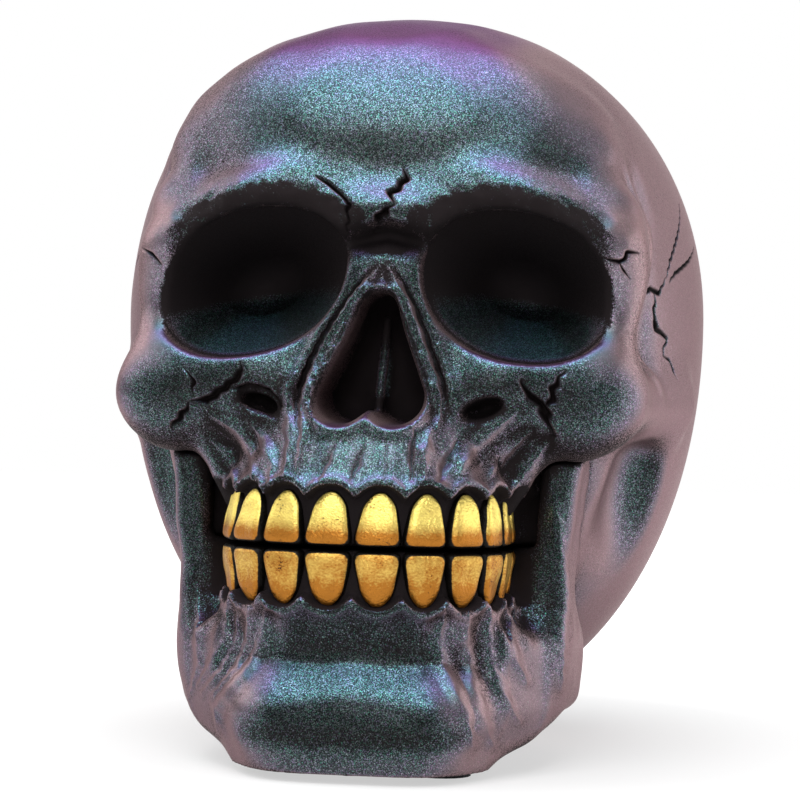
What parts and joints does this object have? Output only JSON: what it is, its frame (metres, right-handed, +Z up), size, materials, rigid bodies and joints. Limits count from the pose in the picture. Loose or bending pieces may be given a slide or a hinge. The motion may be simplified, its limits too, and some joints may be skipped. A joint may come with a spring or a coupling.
{
  "type": "skull ornament",
  "caption": "Free-standing cast-resin skull ornament in colour-shift paint: hollow cranium, bonded lower jaw, gilded teeth in sockets, casting-hole plug and felt feet.",
  "frame": {"origin": "middle of the bounding box in plan, on the table under the felt feet", "axes": "+Z up, the face looks along -Y, +X towards the skull's own left side"},
  "size_m": [0.1016, 0.1365, 0.1265],
  "materials": {
    "colour_shift_paint": "cast resin under dark colour-shift metallic paint with a black wash in the hollows",
    "gilding": "resin teeth under gold leaf paint",
    "plug_rubber": "matt moulded rubber",
    "felt": "pressed felt"
  },
  "bodies": {
    "root": {"cranium": "colour_shift_paint", "mandible": "colour_shift_paint", "tooth_upper_right_1": "gilding", "tooth_upper_right_2": "gilding", "tooth_upper_right_3": "gilding", "tooth_upper_right_4": "gilding", "tooth_upper_right_5": "gilding", "tooth_upper_right_6": "gilding", "tooth_upper_left_1": "gilding", "tooth_upper_left_2": "gilding", "tooth_upper_left_3": "gilding", "tooth_upper_left_4": "gilding", "tooth_upper_left_5": "gilding", "tooth_upper_left_6": "gilding", "tooth_lower_right_1": "gilding", "tooth_lower_right_2": "gilding", "tooth_lower_right_3": "gilding", "tooth_lower_right_4": "gilding", "tooth_lower_right_5": "gilding", "tooth_lower_right_6": "gilding", "tooth_lower_left_1": "gilding", "tooth_lower_left_2": "gilding", "tooth_lower_left_3": "gilding", "tooth_lower_left_4": "gilding", "tooth_lower_left_5": "gilding", "tooth_lower_left_6": "gilding", "base_plug": "plug_rubber", "pad_front_right": "felt", "pad_front_left": "felt", "pad_back_right": "felt", "pad_back_left": "felt"}
  },
  "joints": []
}
